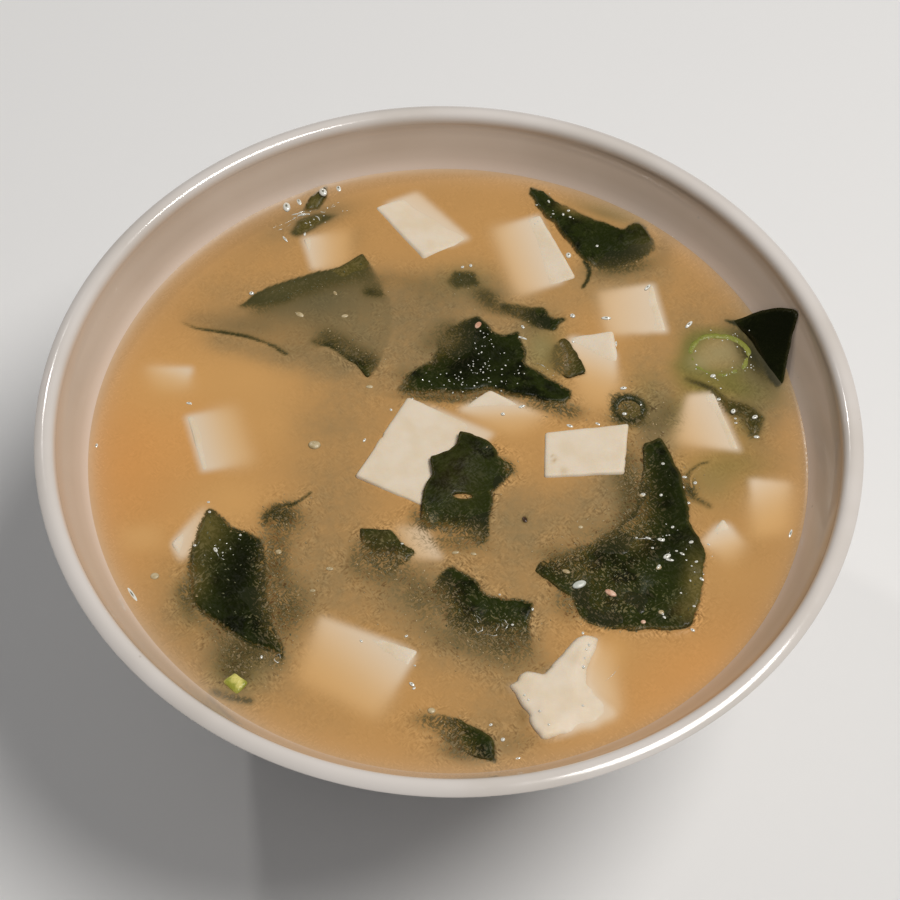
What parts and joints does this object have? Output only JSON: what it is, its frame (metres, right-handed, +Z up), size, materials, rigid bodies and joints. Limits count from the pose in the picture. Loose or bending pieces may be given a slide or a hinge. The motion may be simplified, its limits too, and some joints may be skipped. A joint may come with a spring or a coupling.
{
  "type": "bowl of miso soup",
  "caption": "Round glazed bowl on a foot ring, filled with cloudy broth in which blocks of tofu, torn wakame leaves and slices of scallion float.",
  "frame": {"origin": "middle of the foot ring's underside, on the surface that the bowl stands on", "axes": "+Z up out of the bowl; -Y is the side nearest the viewer and +X is to the viewer's right"},
  "size_m": [0.12, 0.12, 0.06],
  "materials": {
    "glaze": "glossy warm white glaze",
    "broth": "cloudy orange-tan broth with fine grains of miso, wet surface",
    "tofu": "soft smooth creamy white tofu, moist",
    "wakame": "wet very dark green seaweed, slightly see-through at its edges",
    "scallion": "wet light green scallion with fine fibres"
  },
  "bodies": {
    "root": {"bowl": "glaze", "broth": "broth", "tofu_far_left": "tofu", "tofu_far_right": "tofu", "tofu_under_strip": "tofu", "tofu_right_of_far": "tofu", "tofu_right_middle": "tofu", "tofu_corner": "tofu", "tofu_middle": "tofu", "tofu_right": "tofu", "tofu_near_curl": "tofu", "tofu_right_edge": "tofu", "tofu_right_corner": "tofu", "tofu_near_left": "tofu", "tofu_left": "tofu", "tofu_left_sliver": "tofu", "tofu_broken": "tofu", "wakame_far_right": "wakame", "wakame_blade": "wakame", "wakame_strip": "wakame", "wakame_far_left": "wakame", "wakame_scrap": "wakame", "wakame_ribbon": "wakame", "wakame_middle": "wakame", "wakame_flake": "wakame", "wakame_upright": "wakame", "wakame_right": "wakame", "wakame_on_tofu": "wakame", "wakame_chip": "wakame", "wakame_near_middle": "wakame", "wakame_near_left": "wakame", "wakame_near_edge": "wakame", "scallion_curl": "scallion", "scallion_slice": "scallion", "scallion_small": "scallion", "scallion_sunk": "scallion", "scallion_chip": "scallion"}
  },
  "joints": []
}
